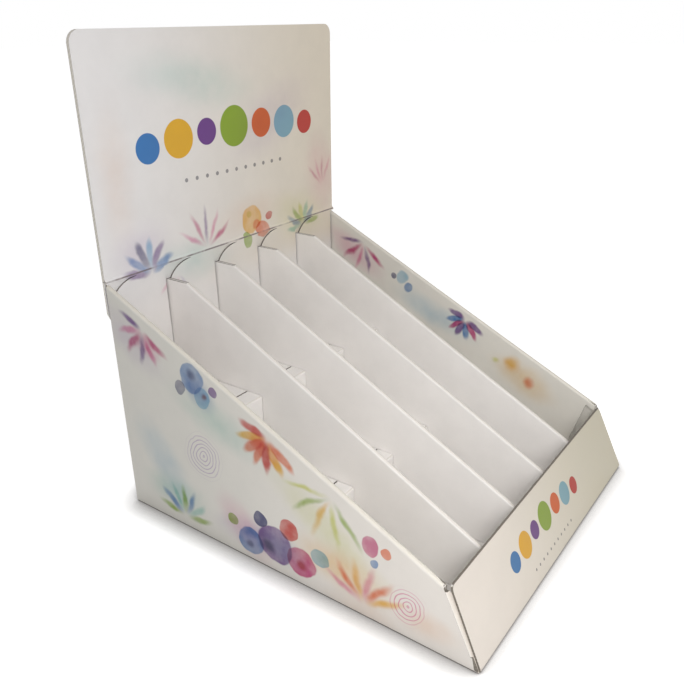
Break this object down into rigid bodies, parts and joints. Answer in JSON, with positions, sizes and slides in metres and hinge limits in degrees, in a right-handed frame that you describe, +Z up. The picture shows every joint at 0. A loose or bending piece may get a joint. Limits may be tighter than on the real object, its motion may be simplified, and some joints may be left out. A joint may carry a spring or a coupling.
{
  "type": "counter display stand",
  "caption": "Folded board counter display with a tall header card, sloping double side walls, a leaning front panel and stepped lanes for small packs.",
  "frame": {"origin": "middle of the footprint, on the surface that the stand rests on", "axes": "+Z up, the open front and its leaning panel face -Y, the header card is at +Y, +X to the right seen from the front"},
  "size_m": [0.32, 0.3619, 0.413],
  "materials": {
    "tray_print": "satin printed board",
    "header_print": "satin printed board",
    "plain_board": "plain white board, matt"
  },
  "bodies": {
    "root": {"tray": "tray_print", "header_card": "header_print", "step_insert": "plain_board", "divider_1": "plain_board", "divider_2": "plain_board", "divider_3": "plain_board", "divider_4": "plain_board"}
  },
  "joints": []
}
